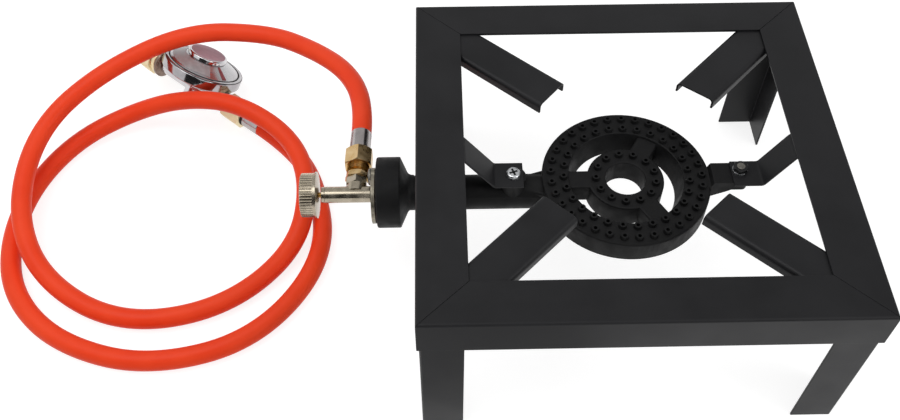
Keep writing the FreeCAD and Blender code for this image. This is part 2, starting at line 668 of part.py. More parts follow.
def regulator_cover():
    """Pressed cover: rim, cone, and the neck that takes the adjusting screw."""
    neck_top = CAP_TOP - 1.7
    return turned([(-0.3, 29.5), (-0.3, 35.0), (0.9, 35.0), (0.9, 32.0, 0.4), COVER_FOOT + (0.8,),
                   COVER_NECK + (0.5,), (COVER_NECK[0], 13.0, 0.5), (neck_top, 13.0, 0.3), (neck_top, 11.5),
                   (7.6, 11.5), (7.6, 16.0), (1.0, 29.2)])


def crimp_ring():
    """The rolled rim that holds casing, diaphragm and cover together."""
    return turned([(-8.2, 33.8), (-8.2, RIM_R, 1.6), (2.0, RIM_R, 1.9), (2.0, 32.6, 0.3), (0.9, 32.6),
                   (0.9, 35.0), (-7.0, 35.0), (-7.0, 33.8)])


def cap():
    """Round cap over the neck, with a small vent hole near its foot."""
    foot, inside = COVER_NECK[0] + 0.2, CAP_TOP - 1.4
    shell = turned([(foot, 13.2), (foot, CAP_R - 0.6), (foot + 0.6, CAP_R), (CAP_TOP, CAP_R, 1.4),
                    (CAP_TOP, 0), (inside, 0), (inside, 13.2)])
    way = at(-13, 1)
    return shell.cut(rod(0.6, 8, way * 11 + Z * (foot + 1.4), way))


def cone_band(inner_z, outer_z, start, sweep, thick):
    """A thin piece of the cover's cone, from one height to another and round by an angle."""
    slope = (COVER_NECK[1] - COVER_FOOT[1]) / (COVER_NECK[0] - COVER_FOOT[0])
    ends = [(z, COVER_FOOT[1] + (z - COVER_FOOT[0]) * slope) for z in (inner_z, outer_z)]
    normal = Vector(-slope, 1, 0).normalize() * thick
    outline = [ends[0], ends[1], (ends[1][0] + normal.x, ends[1][1] + normal.y),
               (ends[0][0] + normal.x, ends[0][1] + normal.y)]
    edges = [Vector(r, 0, z) for z, r in outline]
    face = Part.Face(Part.makePolygon(edges + edges[:1]))
    face.rotate(Vector(), Z, start)
    return face.revolve(Vector(), Z, sweep)


def diaphragm():
    return turned([(-1.5, 2.2), (-1.5, 35.0), (-0.3, 35.0), (-0.3, 2.2)])


def diaphragm_plate():
    """Metal centre of the diaphragm, with the hooked post that lifts the lever."""
    return turned([(-12.2, 0), (-12.2, 3.0), (-11.2, 3.0), (-11.2, 1.5), (-0.2, 1.5), (-0.2, 14.0),
                   (1.0, 14.0, 0.3), (1.0, 0)])


def coil_spring(radius, wire, low, high, turns):
    """One wire wound on a helix, as pairs of tangent arcs for each half turn."""
    steps = turns * 2
    rise = (high - low) / steps

    def on_helix(k):
        a = math.pi * k
        p = Vector(radius * math.cos(a), radius * math.sin(a), low + rise * k)
        t = Vector(-radius * math.sin(a), radius * math.cos(a), rise / math.pi).normalize()
        return p, t

    edges = []
    for k in range(steps):
        for half in (0.0, 0.5):
            (p, s), (q, t) = on_helix(k + half), on_helix(k + half + 0.5)
            gap = q - p
            both = s + t
            a = both.dot(both) - 4
            b = -2 * gap.dot(both)
            c = gap.dot(gap)
            reach = (-b - math.sqrt(b * b - 4 * a * c)) / (2 * a)
            knee_in, knee_out = p + s * reach, q - t * reach
            joint = (knee_in + knee_out) * 0.5
            for start, knee, end in ((p, knee_in, joint), (joint, knee_out, q)):
                chord_middle = (start + end) * 0.5
                rise_way = knee - chord_middle
                half_chord = (end - start).Length / 2
                bend = half_chord * (knee - start).Length / rise_way.Length
                sagitta = bend - math.sqrt(bend * bend - half_chord * half_chord)
                middle = chord_middle + rise_way.normalize() * sagitta
                edges.append(Part.Arc(start, middle, end).toShape())
    line = Part.Wire(edges)
    p, t = on_helix(0)
    print("spring wire gap to itself", round((high - low) / turns - 2 * wire, 2))
    return line.makePipeShell([Part.Wire([Part.makeCircle(wire, p, t)])], True, False)


def adjusting_screw():
    low, high = 9.3, CAP_TOP - 1.8
    disc = turned([(low, 0), (low, 11.3, 0.3), (high, 11.3, 0.3), (high, 0)])
    return disc.cut(hexagon(6, high - low, Z * low, Z, X, 0.1))


def valve_lever():
    """Fork under the diaphragm's post, and a short arm that pushes the poppet."""
    hub = rod(2.4, 6, LEVER_PIN - Y * 3, Y)
    long_arm = block((-2.6, -3, -10.6), (10, 3, -9.4))
    short_arm = block((9.2, -2, -20), (10.8, 2, -12))
    fork_gap = block((-3, -1.9, -11), (1.9, 1.9, -9))
    pin_bore = rod(1.0 + RUNNING, 6, LEVER_PIN - Y * 3, Y)
    return joined(hub, long_arm, short_arm).cut([fork_gap, pin_bore])


def poppet():
    return turned([(-1.35, 0), (-1.35, 3.0, 0.2), (0.6, 3.0, 0.2), (0.6, 2.0), (8.8, 2.0, 0.3),
                   (8.8, 0)], PIPE, X)


def inlet_nipple():
    """Flange against the casing, stem, and the head that the inlet nut pulls on."""
    return turned([(-46.6, 3.0), (-46.6, 9.6, 0.3), (-43.3, 9.6, 0.3), (-43.3, 6.0), (-40.6, 6.0),
                   (-40.6, 14.5, 0.8), (-37.6, 14.5, 0.5), (-36, 10.5), (-36, 3.0)], PIPE, X)


def inlet_washer():
    return turned([(-48.8, 3.2), (-48.8, 9.0, 0.2), (-46.6, 9.0), (-46.6, 3.2)], PIPE, X)


def inlet_nut():
    """Brass union nut for the gas cylinder: six flats, collar, female thread.

    Behind the thread there is room for the nipple's head and its washer.
    """
    room, shoulder, end = -52.0, -43.0, -40.9
    collar = turned([(-47, 0), (-47, 13.5), (end, 13.5, 1.0), (end, 0)], PIPE, X)
    grip = hexagon(INLET_FLATS, INLET_MOUTH - 46, PIPE - X * INLET_MOUTH, X, Z, 2.4)
    thread = rod(INLET_THREAD_R, INLET_THREAD_LONG, PIPE - X * INLET_MOUTH, X)
    head_room = rod(INLET_THREAD_R + 0.5, shoulder - room, PIPE + X * room, X)
    sleeve = rod(6.0 + RUNNING, end - shoulder + 1, PIPE + X * (shoulder - 0.5), X)
    return joined(collar, grip).cut([thread, head_room, sleeve])


# Making and saving the pieces

def save(name, shape, place=None):
    """Move a piece to its place in the part's frame and write it."""
    shape = shape.copy()
    if place is not None:
        shape.Placement = place.multiply(shape.Placement)
    shape.translate(X * CENTRE_SHIFT)
    assert len(shape.Solids) == 1, name
    solid = shape.Solids[0]
    ok = solid.isValid() and solid.Volume > 0
    print(f"{name:26s} volume {solid.Volume:10.1f} {'ok' if ok else 'BAD'}")
    solid.exportStep(f"parts/{name}.step")


def save_frame():
    left_front, right_front = Vector(-HALF_LONG, -HALF_DEEP, 0), Vector(HALF_LONG, -HALF_DEEP, 0)
    left_back, right_back = Vector(-HALF_LONG, HALF_DEEP, 0), Vector(HALF_LONG, HALF_DEEP, 0)
    save("top_bar_front", top_bar(left_front, X, Y, FRAME_LONG, END_BAR, SIDE_BAR))
    save("top_bar_back", top_bar(right_back, X * -1, Y * -1, FRAME_LONG, END_BAR, SIDE_BAR))
    save("top_bar_left", top_bar(left_back, Y * -1, X, FRAME_DEEP, SIDE_BAR, END_BAR))
    save("top_bar_right", top_bar(right_front, Y, X * -1, FRAME_DEEP, SIDE_BAR, END_BAR))
    for y_name, side_y in (("front", -1), ("back", 1)):
        for x_name, side_x in (("left", -1), ("right", 1)):
            save(f"leg_{y_name}_{x_name}", leg(side_x, side_y))
    for name, (outer, tip, shear) in ARM_LINES.items():
        save(f"pot_arm_{name}", pot_arm(outer, tip, shear))
    for side in ("left", "right"):
        save(f"strap_{side}", strap(side))


def save_burner():
    save("burner_casting", burner_casting())
    tab_top = EAR_TOP + SHEET
    left = Vector(*STRAP_SCREWS["left"], tab_top)
    save("strap_screw_left", pan_screw(5.8, 3.4, SCREW_R, 9.5, left, Z, at(20, 1)))
    right = Vector(*STRAP_SCREWS["right"], 0)
    nut_low = tab_top + WASHER_THICK
    proud = 0.4
    bolt = joined(hexagon(10, 4, right + Z * (EAR_LOW - 4), Z, X),
                  rod(SCREW_R, nut_low + NUT_TALL + proud - EAR_LOW, right + Z * EAR_LOW))
    save("strap_bolt_right", bolt)
    save("spring_washer_right", split_washer(SCREW_R + 0.1, 5.6, WASHER_THICK, right + Z * tab_top))
    save("strap_nut_right", nut(10, NUT_TALL, SCREW_R, right + Z * nut_low, Z, at(15, 1)))


def save_tap():
    save("shutter_plate", shutter_plate())
    under_head = swing_axes()[2] + X * (SHUTTER_FACES[0] - 0.15)
    save("shutter_screw", pan_screw(6.9, 2.3, 2.5, 10.2, under_head, X * -1, Y))
    save("valve_body", valve_body())
    save("injector_jet", injector_jet())
    save("valve_plug", valve_plug())
    save("valve_spindle", valve_spindle())
    save("packing_ring", packing_ring())
    save("packing_nut", packing_nut())
    save("knob", knob())
    save("knob_screw", pan_screw(3.4, 2.2, 1.25, 7.0, TAP + X * (KNOB_END + 3.0), X * -1, Y))
    save("hose_adaptor", hose_adaptor(), BRANCH_TURN)
    save("union_nut_tap", swivel_nut(20, BRANCH, Y, Z, 26, 41, 8.0, 37), BRANCH_TURN)
    save("hose_tail_tap", hose_tail(BRANCH, Y, 33.2, 59), BRANCH_TURN)
    save("ferrule_tap", ferrule(BRANCH, Y, Z, 41, 60), BRANCH_TURN)
    save("hose", hose())


def save_regulator():
    place = regulator_axes()
    lean = place.Rotation.multVec(Z).z
    floor_reach = (place.Base.z - PLUG_R * math.sqrt(1 - lean * lean)) / lean
    pieces = {
        "regulator_body": regulator_body(),
        "base_plug": base_plug(floor_reach),
        "regulator_cover": regulator_cover(),
        "crimp_ring": crimp_ring(),
        "regulator_cap": cap(),
        "cap_sticker": rod(15.4, 0.2, Z * CAP_TOP),
        "label_band": cone_band(3.2, 8.4, 75, 245, 0.25),
        "seal_mark": cone_band(2.6, 8.8, -17, 8, 0.3),
        "diaphragm": diaphragm(),
        "diaphragm_plate": diaphragm_plate(),
        "regulator_spring": coil_spring(8.0, 0.8, 1.9, 8.4, 3),
        "adjusting_screw": adjusting_screw(),
        "valve_lever": valve_lever(),
        "lever_pin": rod(1.0, 11, LEVER_PIN - Y * 5.5, Y),
        "poppet": poppet(),
        "inlet_nipple": inlet_nipple(),
        "inlet_washer": inlet_washer(),
        "inlet_nut": inlet_nut(),
        "union_nut_regulator": swivel_nut(22, PIPE, X, Z, 39, 59, 8.0, 55),
        "seal_ring_regulator": turned([(59, 5.2), (59, 8.6, 0.4), (61, 8.6, 0.4), (61, 5.2)], PIPE, X),
        "hose_tail_regulator": hose_tail(PIPE, X, 51.2, 77),
        "ferrule_regulator": ferrule(PIPE, X, Z, 61, PIPE_REACH),
    }
    for name, shape in pieces.items():
        save(name, shape, place)
    print("regulator origin", place.Base + X * CENTRE_SHIFT, "outlet", place.Rotation.multVec(X),
          "face", place.Rotation.multVec(Z))


def main():
    os.makedirs("parts", exist_ok=True)
    save_frame()
    save_burner()
    save_tap()
    save_regulator()


main()
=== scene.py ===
# %% [markdown]
# # A propane burner stand, dressed for its portrait
# The solids come from the construction model and already have their true sizes and places.
# This lesson gives them a camera, a hose, finishes, softened edges and light. Every piece
# stays in the frame of the construction model, in metres, with +Z up and the floor at z = 0.

import json
import math

import bmesh
import bpy
from mathutils import Matrix, Vector

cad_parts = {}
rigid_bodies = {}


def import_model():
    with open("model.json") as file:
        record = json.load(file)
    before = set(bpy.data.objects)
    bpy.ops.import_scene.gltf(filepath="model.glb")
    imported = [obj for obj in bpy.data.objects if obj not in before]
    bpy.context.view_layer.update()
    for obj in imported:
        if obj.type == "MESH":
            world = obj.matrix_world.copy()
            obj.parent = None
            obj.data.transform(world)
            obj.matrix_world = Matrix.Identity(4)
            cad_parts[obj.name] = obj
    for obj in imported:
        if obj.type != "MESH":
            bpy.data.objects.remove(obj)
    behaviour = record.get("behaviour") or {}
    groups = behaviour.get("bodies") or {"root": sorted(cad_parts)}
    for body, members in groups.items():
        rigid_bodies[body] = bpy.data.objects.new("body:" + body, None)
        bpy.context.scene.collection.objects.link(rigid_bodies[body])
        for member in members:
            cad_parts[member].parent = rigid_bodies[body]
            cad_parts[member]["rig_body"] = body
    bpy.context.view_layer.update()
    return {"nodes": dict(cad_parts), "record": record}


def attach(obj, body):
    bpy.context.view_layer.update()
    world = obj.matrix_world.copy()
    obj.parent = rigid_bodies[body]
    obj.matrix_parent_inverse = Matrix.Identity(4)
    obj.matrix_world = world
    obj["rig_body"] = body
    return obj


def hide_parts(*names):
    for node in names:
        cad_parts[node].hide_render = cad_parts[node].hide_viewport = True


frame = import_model()
scene = bpy.context.scene
nodes = frame["nodes"]
print("pieces in the frame:", len(nodes))

# %% [markdown]
# ## Camera
# The photograph looks down on the stand from the front, a little to the left of it. The
# camera's place and directions were solved from the corners of the square steel frame, so
# the same corners fall on the same spots of a picture 900 pixels wide and 420 high. The
# picture's middle is the lens's middle, so no shift is needed.

# %% Camera
EYE = Vector((-0.09054, -0.45433, 0.66872))
RIGHT = Vector((0.99983, -0.01843, -0.00250))
UP = Vector((0.01623, 0.79915, 0.60091))
BACK = Vector((-0.00908, -0.60084, 0.79931))
FOCAL_PIXELS, PICTURE_WIDE = 985.7, 900
SENSOR = 36.0

camera = bpy.data.objects.new("camera", bpy.data.cameras.new("camera"))
scene.collection.objects.link(camera)
camera.data.sensor_fit = "HORIZONTAL"
camera.data.sensor_width = SENSOR
camera.data.lens = FOCAL_PIXELS / PICTURE_WIDE * SENSOR
camera.matrix_world = Matrix.Translation(EYE) @ Matrix((RIGHT, UP, BACK)).transposed().to_4x4()
scene.camera = camera
print("lens", round(camera.data.lens, 2), "mm")

# %% [markdown]
# ## Hose
# A gas hose is a stiff rubber tube that keeps some of the curl it had on its reel. It leaves
# the tap, makes an upper loop that falls to the floor, climbs over its own end and over the
# regulator's pipe, and makes a second, wider loop on the floor. One smooth spline carries
# the whole route, because real hose has no corners. Its points are read once, and a ring of
# vertices is carried along them without twist.

# %% Hose
HOSE_WIDE = 0.0158
HOSE_SIDES = 28
SPLINE_STEPS = 14           # points read from each stretch of the route
SHARP_OVER = math.radians(40)       # faces that meet at more than this keep a plain edge
HOSE_ROUTE = [
    (-0.1521, 0.0600, 0.0856), (-0.1510, 0.0919, 0.0856), (-0.1654, 0.1302, 0.0840),
    (-0.1972, 0.1653, 0.0760), (-0.2398, 0.1944, 0.0690), (-0.3126, 0.2013, 0.0664),
    (-0.3853, 0.1636, 0.0550), (-0.4339, 0.1144, 0.0380), (-0.4380, 0.0370, 0.0270),
    (-0.4093, -0.0229, 0.0140), (-0.3418, -0.0634, 0.0079), (-0.2626, -0.0512, 0.0079),
    (-0.2086, 0.0023, 0.0094), (-0.1990, 0.0580, 0.0280), (-0.2187, 0.1077, 0.0305),
    (-0.2651, 0.1368, 0.0424), (-0.3153, 0.1482, 0.0364), (-0.3650, 0.1526, 0.0155),
    (-0.4114, 0.1272, 0.0079), (-0.4390, 0.0762, 0.0079), (-0.4449, 0.0173, 0.0079),
    (-0.4286, -0.0369, 0.0079), (-0.3837, -0.0795, 0.0079), (-0.3119, -0.1006, 0.0079),
    (-0.2312, -0.0778, 0.0079), (-0.1825, -0.0017, 0.0079), (-0.1989, 0.0817, 0.0079),
    (-0.2286, 0.1201, 0.0080), (-0.2492, 0.1357, 0.0110),
]

guide_curve = bpy.data.curves.new("hose_guide", "CURVE")
guide_curve.dimensions = "3D"
guide_curve.resolution_u = guide_curve.render_resolution_u = SPLINE_STEPS
line = guide_curve.splines.new("NURBS")
line.points.add(len(HOSE_ROUTE) - 1)
for point, place in zip(line.points, HOSE_ROUTE):
    point.co = (*place, 1.0)
line.order_u = 3
line.use_endpoint_u = True
guide = bpy.data.objects.new("hose_guide", guide_curve)
scene.collection.objects.link(guide)
bpy.context.view_layer.update()
guide_mesh = bpy.data.meshes.new_from_object(guide)
hose_path = [vertex.co.copy() for vertex in guide_mesh.vertices]
bpy.data.objects.remove(guide)


def turns(count):
    """Angles all round a circle."""
    return [2 * math.pi * k / count for k in range(count)]


def join_rings(work, rings):
    """Faces from each ring of vertices to the next one in the list."""
    faces = []
    for near, far in zip(rings, rings[1:]):
        for k in range(len(near)):
            after = (k + 1) % len(near)
            faces.append(work.faces.new((near[k], near[after], far[after], far[k])))
    return faces


def mesh_from(work, name):
    """Write a mesh that is being built under a name, and let go of it."""
    mesh = bpy.data.meshes.new(name)
    work.to_mesh(mesh)
    work.free()
    return mesh


def swept(name, path, radius, sides):
    """A closed round tube along a path, its rings carried from point to point without twist."""
    work = bmesh.new()
    way = (path[1] - path[0]).normalized()
    side = way.orthogonal().normalized()
    rings = []
    for i, place in enumerate(path):
        ahead = (path[min(i + 1, len(path) - 1)] - path[max(i - 1, 0)]).normalized()
        side = way.rotation_difference(ahead) @ side
        way = ahead
        other = way.cross(side)
        outs = [side * math.cos(turn) + other * math.sin(turn) for turn in turns(sides)]
        rings.append([work.verts.new(place + out * radius) for out in outs])
    join_rings(work, rings)
    work.faces.new(list(reversed(rings[0])))
    work.faces.new(rings[-1])
    bmesh.ops.recalc_face_normals(work, faces=work.faces)
    mesh = mesh_from(work, name)
    mesh.shade_smooth()
    mesh.set_sharp_from_angle(angle=SHARP_OVER)
    return mesh


hose = bpy.data.objects.new("gas_hose", swept("gas_hose", hose_path, HOSE_WIDE / 2, HOSE_SIDES))
scene.collection.objects.link(hose)
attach(hose, "stand")
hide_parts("hose")

# %% [markdown]
# ## Colours and nodes
# Colours are written as the eye reads them on a screen, in sRGB hex. The shader wants linear
# light, so one function turns them over. A second small function adds a node, sets its
# values and joins its links, so a material reads as a short list of what it is made of.

# %% Colour and node helpers
def linear(hex_colour):
    """Linear RGBA from an sRGB hex word."""
    channels = [int(hex_colour[i:i + 2], 16) / 255 for i in (1, 3, 5)]
    return [c / 12.92 if c <= 0.04045 else ((c + 0.055) / 1.055) ** 2.4 for c in channels] + [1.0]


def add(tree, kind, inputs=(), **settings):
    """A new node. An input that is a socket is linked, and any other is a value."""
    node = tree.nodes.new(kind)
    for name, value in settings.items():
        setattr(node, name, value)
    for name, value in dict(inputs).items():
        if isinstance(value, bpy.types.NodeSocket):
            tree.links.new(value, node.inputs[name])
        else:
            node.inputs[name].default_value = value
    return node


def blank_material(name):
    """A material with only its output, and the tree to fill."""
    material = bpy.data.materials.new(name)
    material.use_nodes = True
    tree = material.node_tree
    tree.nodes.clear()
    return material, tree, add(tree, "ShaderNodeOutputMaterial")


MM = 0.001
METAL = {"Metallic": 1.0}
PATCH_SPREAD = {"From Min": 0.32, "From Max": 0.68}     # most of what the noise gives


def finish(name, colours, roughness, patch_mm, grain_mm, relief_mm, sockets=()):
    """A surface whose colour and gloss drift in soft patches, with a fine grain in relief."""
    material, tree, output = blank_material(name)
    place = add(tree, "ShaderNodeTexCoord").outputs["Object"]
    patches = add(tree, "ShaderNodeTexNoise",
                  {"Vector": place, "Scale": 1 / (patch_mm * MM), "Detail": 5.0})
    grain = add(tree, "ShaderNodeTexNoise",
                {"Vector": place, "Scale": 1 / (grain_mm * MM), "Detail": 3.0})
    spread = add(tree, "ShaderNodeMapRange", {"Value": patches.outputs["Fac"], **PATCH_SPREAD})
    tint = add(tree, "ShaderNodeMix", {0: spread.outputs["Result"], 6: linear(colours[0]),
                                       7: linear(colours[1])}, data_type="RGBA")
    gloss = add(tree, "ShaderNodeMapRange", {"Value": spread.outputs["Result"],
                                             "To Min": roughness[0], "To Max": roughness[1]})
    relief = add(tree, "ShaderNodeBump", {"Height": grain.outputs["Fac"], "Distance": relief_mm * MM})
    shader = add(tree, "ShaderNodeBsdfPrincipled", {"Base Color": tint.outputs[2],
                                                    "Roughness": gloss.outputs["Result"],
                                                    "Normal": relief.outputs["Normal"], **dict(sockets)})
    tree.links.new(shader.outputs["BSDF"], output.inputs["Surface"])
    return material


# %% [markdown]
# ## Finishes
# Each finish starts from what the real surface is. The stand is folded steel under black
# polyester powder coat: satin, with a faint orange peel from the melted powder. The burner
# is sand-cast grey iron in a matt black heat paint, rough like fine sandpaper.

# %% Powder coat and cast iron
powder_coat = finish("satin_black_powder_coat", ("#171719", "#1E1E20"), (0.38, 0.5), 40, 1.1, 0.02,
                     {"Specular IOR Level": 0.22})
cast_iron = finish("black_painted_cast_iron", ("#0A0A0B", "#121213"), (0.5, 0.72), 9, 0.8, 0.09,
                   {"Specular IOR Level": 0.22})
print("made", powder_coat.name, "and", cast_iron.name)

# %% [markdown]
# The tap, its knob and the air shutter are brass with a satin nickel coat, a warm grey that
# dulls where hands touch it. The nuts of the hose are bare turned brass, which is paler the
# newer it is. Screws are zinc plated, one nut is blackened, and the ferrules are pressed
# steel. The regulator's casting is chromed, which is nearly a mirror, its cover is satin and
# its rim a duller chrome, and its inlet has a smoky brown nickel.

# %% Metals
nickel = finish("satin_nickel_on_brass", ("#99907F", "#B5AB9A"), (0.18, 0.3), 7, 0.5, 0.015, METAL)
rough_nickel = finish("rough_nickel_plate", ("#6F6A5E", "#A39C8D"), (0.32, 0.5), 3, 0.9, 0.12, METAL)
brass = finish("turned_brass", ("#A87A35", "#C79A55"), (0.2, 0.34), 6, 0.35, 0.012, METAL)
pale_brass = finish("pale_turned_brass", ("#C9A873", "#DFC395"), (0.24, 0.38), 6, 0.35, 0.012, METAL)
black_steel = finish("black_oxide_steel", ("#1A1A1B", "#2C2C2D"), (0.35, 0.5), 3, 0.4, 0.012,
                     {"Metallic": 0.6})
zinc = finish("bright_zinc_plate", ("#C4C6C9", "#D8DADC"), (0.18, 0.28), 8, 0.6, 0.004, METAL)
bare_steel = finish("pressed_steel", ("#A29C9C", "#B7B1B0"), (0.16, 0.26), 14, 2.0, 0.006, METAL)
chrome = finish("bright_chrome_plate", ("#BBB9BC", "#CFCDCF"), (0.06, 0.12), 12, 2.5, 0.006, METAL)
smoked_nickel = finish("smoked_nickel", ("#6E5A50", "#8C7A6E"), (0.15, 0.28), 4, 0.6, 0.01, METAL)
satin_chrome = finish("satin_chrome_plate", ("#AFADAF", "#BFBDBF"), (0.2, 0.3), 12, 2.5, 0.006, METAL)
dull_chrome = finish("dull_chrome_plate", ("#A19EA1", "#B3B0B2"), (0.08, 0.14), 10, 2.5, 0.006, METAL)
cream_brass = finish("cream_brass", ("#DAC79F", "#EBDDB8"), (0.26, 0.4), 6, 0.35, 0.012, METAL)
dark_zinc = finish("dark_zinc_plate", ("#66645F", "#8C8982"), (0.14, 0.24), 2, 0.5, 0.02, METAL)
print("made thirteen metals")

# %% [markdown]
# The hose is rubber with an orange-red skin, smooth and slightly glossy from the extruder.
# Washers and seals are plain black rubber. The label band on the regulator's cone is a matt
# silver film, the cap carries a plain mauve sticker, and a drop of red paint seals the cone.

# %% Rubber, label and paint
hose_rubber = finish("orange_red_hose_rubber", ("#FA431C", "#FF4C24"), (0.38, 0.5), 30, 1.6, 0.02,
                     {"Specular IOR Level": 0.16})
black_rubber = finish("black_rubber", ("#161616", "#222222"), (0.6, 0.75), 4, 0.6, 0.02)
silver_label = finish("matt_silver_film", ("#A3A3A5", "#B4B4B6"), (0.36, 0.48), 5, 0.5, 0.004,
                      {"Metallic": 0.5})
mauve_sticker = finish("mauve_paper_sticker", ("#A87F8D", "#B68F9A"), (0.5, 0.6), 5, 0.4, 0.004)
red_seal = finish("red_seal_paint", ("#7C1A20", "#8F242A"), (0.25, 0.35), 2, 0.5, 0.01)

FINISHES = {
    "powder_coat": powder_coat, "cast_iron": cast_iron, "zinc": zinc, "nickel": nickel,
    "brass": brass, "chrome": chrome, "bare_steel": bare_steel, "hose_rubber": hose_rubber,
    "black_rubber": black_rubber, "silver_label": silver_label, "mauve_sticker": mauve_sticker,
    "red_seal": red_seal,
}
SPECIAL = {                 # pieces whose own finish differs from that of their slot
    "shutter_plate": rough_nickel, "inlet_nut": cream_brass, "union_nut_tap": pale_brass,
    "union_nut_regulator": cream_brass, "hose_adaptor": pale_brass,
    "strap_nut_right": black_steel, "inlet_nipple": smoked_nickel,
    "regulator_cover": satin_chrome, "crimp_ring": dull_chrome,
    "shutter_screw": dark_zinc, "strap_bolt_right": dark_zinc,
}
slot_of = {row["node"]: row["material_slot"] for row in frame["record"]["subparts"]}
finish_of = {name: SPECIAL.get(name, FINISHES[slot]) for name, slot in slot_of.items()}
for name, node in nodes.items():
    for held in node.material_slots:
        held.material = finish_of[name]
hose.data.materials.append(hose_rubber)
print("finishes:", len(FINISHES), "by slot and", len(SPECIAL), "pieces with their own")

# %% [markdown]
# ## Softened edges
# A construction model has perfectly sharp edges, and real ones never are: sheet is deburred,
# castings are tumbled and paint rounds what it covers. A narrow rounding is enough to catch
# the light. The construction meshes stay as they are, so each visible piece is copied, its
# loose triangles are joined, flat parts are merged, and a Bevel modifier rounds the copy.

# %% Dressed copies
EDGE_MM = {"powder_coat": 0.35, "cast_iron": 0.4, "zinc": 0.12, "nickel": 0.2, "brass": 0.2,
           "chrome": 0.15, "bare_steel": 0.15, "black_rubber": 0.15}
INSIDE = {"valve_plug", "valve_spindle", "packing_ring", "diaphragm", "diaphragm_plate",
          "regulator_spring", "adjusting_screw", "valve_lever", "lever_pin", "poppet",
          "inlet_washer", "hose_tail_tap", "hose_tail_regulator", "hose"}
SMOOTH_UNDER = math.radians(32)
DOUBLES_MM = 0.002
FLAT_WITHIN = math.radians(0.6)


def joined_copy(node_name):
    """A clean mesh from a construction node: doubles merged, flat faces whole, curves smooth."""
    work = bmesh.new()
    work.from_mesh(nodes[node_name].data)
    bmesh.ops.remove_doubles(work, verts=work.verts, dist=DOUBLES_MM * MM)
    bmesh.ops.dissolve_limit(work, angle_limit=FLAT_WITHIN, verts=work.verts, edges=work.edges)
    mesh = mesh_from(work, node_name + "_dressed")
    if "custom_normal" in mesh.attributes:
        mesh.attributes.remove(mesh.attributes["custom_normal"])
    mesh.shade_smooth()
    mesh.set_sharp_from_angle(angle=SMOOTH_UNDER)
    return mesh


def place_piece(name, mesh, like, replace=(), other_finish=None):
    """Put a mesh in the scene with the body, and mostly the finish, of a construction node."""
    piece = bpy.data.objects.new(name, mesh)
    scene.collection.objects.link(piece)
    mesh.materials.clear()
    mesh.materials.append(other_finish or finish_of[like])
    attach(piece, nodes[like]["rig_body"])
    if replace:
        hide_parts(*replace)
    return piece


def soften(piece, width_mm):
    """A narrow rounding of every sharp edge."""
    bevel = piece.modifiers.new("softened_edges", "BEVEL")
    bevel.width = width_mm * MM
    bevel.segments = 2
    bevel.limit_method = "ANGLE"
    bevel.angle_limit = SHARP_OVER
    bevel.harden_normals = True


dressed = {}
for name in sorted(set(nodes) - INSIDE):
    dressed[name] = place_piece(name + "_dressed", joined_copy(name), name, [name])
    if slot_of[name] in EDGE_MM:
        soften(dressed[name], EDGE_MM[slot_of[name]])
print("dressed pieces:", len(dressed))

# %% [markdown]
# ## Welds
# The stand is held together by short weld runs inside its corners and under its straps, under
# the powder coat. A swept tube would be too even for them, since a weld is a row of small
# overlapping puddles, so each run is a row of balls whose sizes vary a little.

# %% Weld runs
BEAD_STEP = 0.9             # from one puddle to the next, in radii
BEAD_SWELL, SWELL_PACE = 0.12, 2.4


def weld_mesh(name, start, end, radius_mm):
    """A row of overlapping puddles from one point to another, both in millimetres."""
    start, end = Vector(start) * MM, Vector(end) * MM
    step = radius_mm * MM * BEAD_STEP
    count = max(3, round((end - start).length / step))
    work = bmesh.new()
    for k in range(count + 1):
        swell = 1 + BEAD_SWELL * math.sin(SWELL_PACE * k)
        ball = bmesh.ops.create_icosphere(work, subdivisions=2, radius=radius_mm * MM * swell)
        bmesh.ops.translate(work, verts=ball["verts"], vec=start.lerp(end, k / count))
    mesh = mesh_from(work, name)
    mesh.shade_smooth()
    return mesh


# In millimetres: the stand's middle along x, the outer faces of its aprons from there, its
# sheet, and the width of a leg's flange. A leg's welds run up the free edges of its flanges,
# and those of a strap lie near its two edges, under the frame's flat top.
MIDDLE_X, SHEET = 43.0, 1.6
OUTER_X, OUTER_Y = 151.0, 146.4
LEG_FLANGE = 29.5
LEG_WELD_ENDS, LEG_BEAD = (112, 134), 1.3
STRAP_WELD_X, STRAP_WELD_HALF, STRAP_WELD_Z = 138, 5, 137.6
STRAP_WELDS_Y, STRAP_BEAD = (-13, 9), 1.2

inner_x, inner_y = OUTER_X - SHEET, OUTER_Y - SHEET
leg_spots = [(inner_x - LEG_FLANGE, inner_y - SHEET / 2), (inner_x - SHEET / 2, inner_y - LEG_FLANGE)]
weld_count = 0
for y_name, sign_y in (("front", -1), ("back", 1)):
    for x_name, sign_x in (("left", -1), ("right", 1)):
        like = f"leg_{y_name}_{x_name}"
        for number, (x, y) in enumerate(leg_spots):
            name = f"weld_{like}_{number}"
            low, high = [(MIDDLE_X + sign_x * x, sign_y * y, z) for z in LEG_WELD_ENDS]
            place_piece(name, weld_mesh(name, low, high, LEG_BEAD), like)
            weld_count += 1
for side, x_way in (("left", -1), ("right", 1)):
    for number, y in enumerate(STRAP_WELDS_Y):
        like = f"strap_{side}"
        name = f"weld_{like}_{number}"
        x = MIDDLE_X + x_way * STRAP_WELD_X
        start = (x - STRAP_WELD_HALF, y, STRAP_WELD_Z)
        end = (x + STRAP_WELD_HALF, y, STRAP_WELD_Z)
        place_piece(name, weld_mesh(name, start, end, STRAP_BEAD), like)
        weld_count += 1
print("weld runs:", weld_count)

# %% [markdown]
# ## Thread
# The brass neck between the tap and the union nut shows a few turns of its thread. The ends
# of a helix would be hidden, so each crest is a plain ring with three corners across it,
# which looks the same at this size and is quicker to build.

